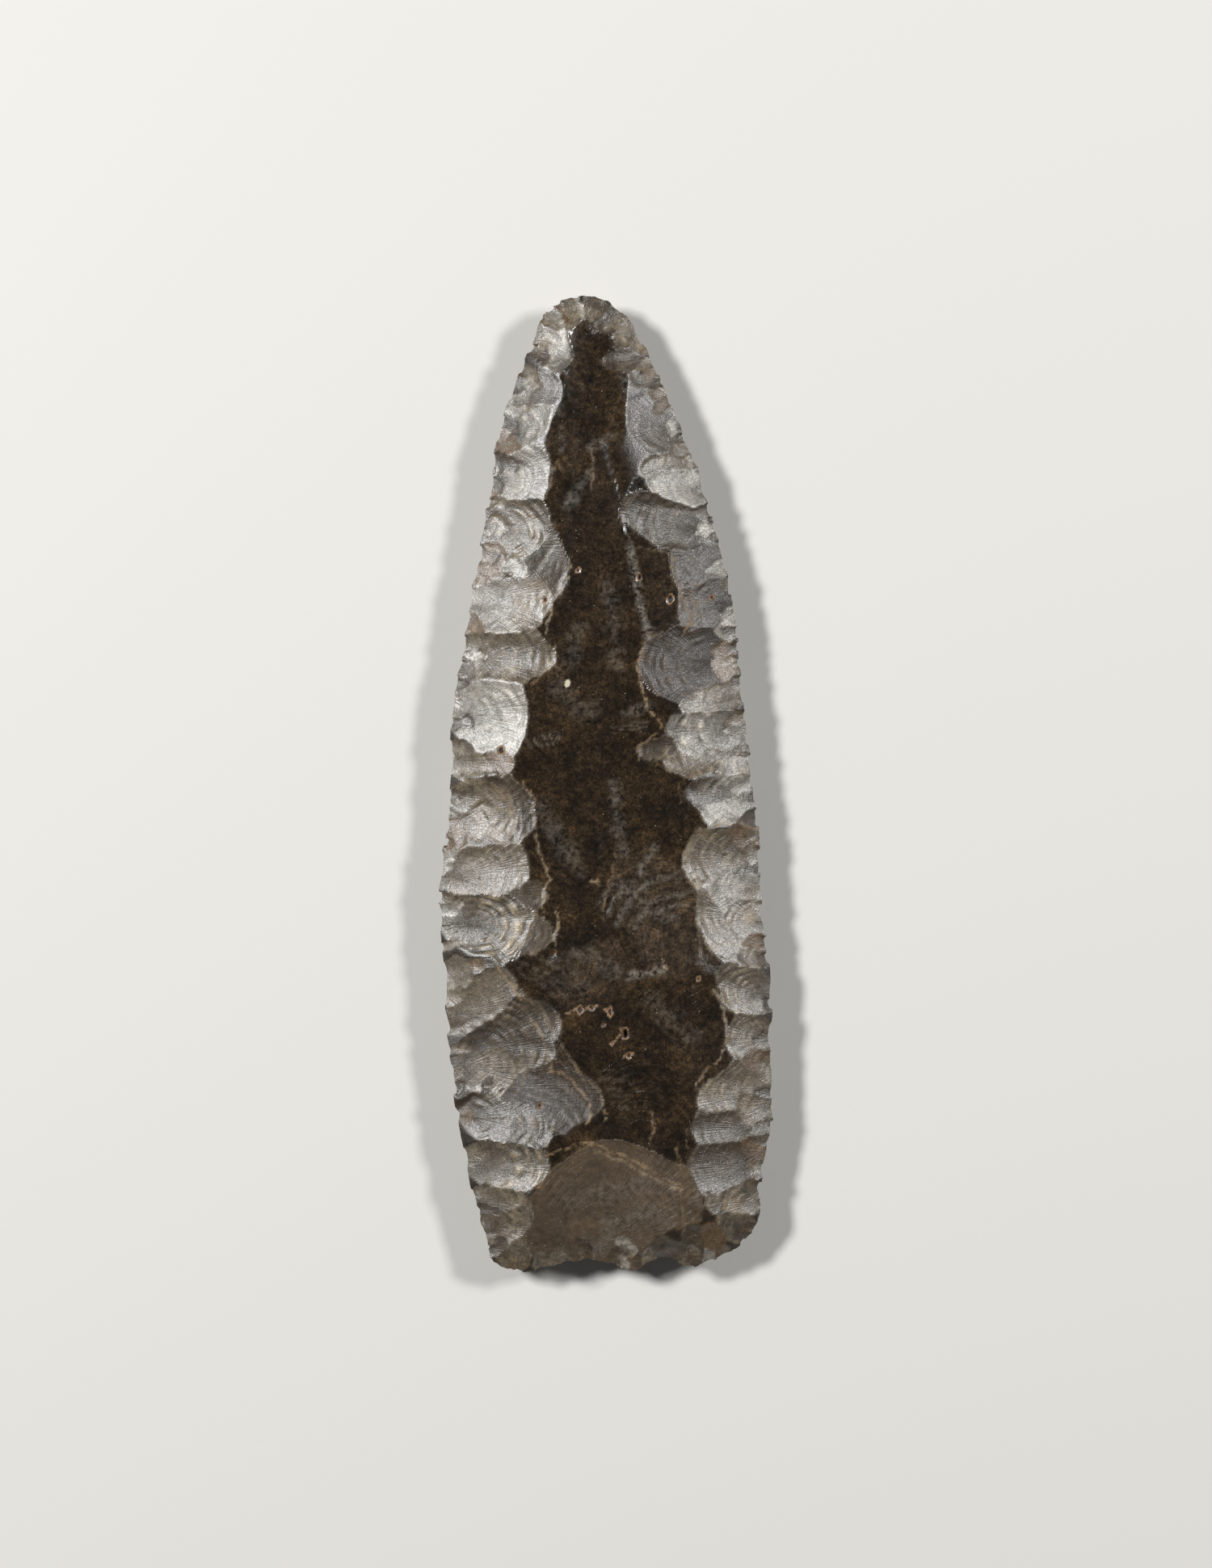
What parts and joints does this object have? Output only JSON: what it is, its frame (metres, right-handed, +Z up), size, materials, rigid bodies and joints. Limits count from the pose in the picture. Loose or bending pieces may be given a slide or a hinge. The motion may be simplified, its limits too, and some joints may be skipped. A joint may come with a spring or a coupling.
{
  "type": "flint biface",
  "caption": "Long leaf-shaped flint biface, flaked on both faces and retouched round its edge, with a rounded tip and a nearly straight thinned base.",
  "frame": {"origin": "under the middle of the outline, on the surface the stone lies on", "axes": "+Z up from the reverse face to the obverse, +Y along the length towards the tip, +X to the right in plan"},
  "size_m": [0.0512, 0.15, 0.0105],
  "materials": {
    "flint": "satin"
  },
  "bodies": {
    "root": {"flint_biface": "flint"}
  },
  "joints": []
}
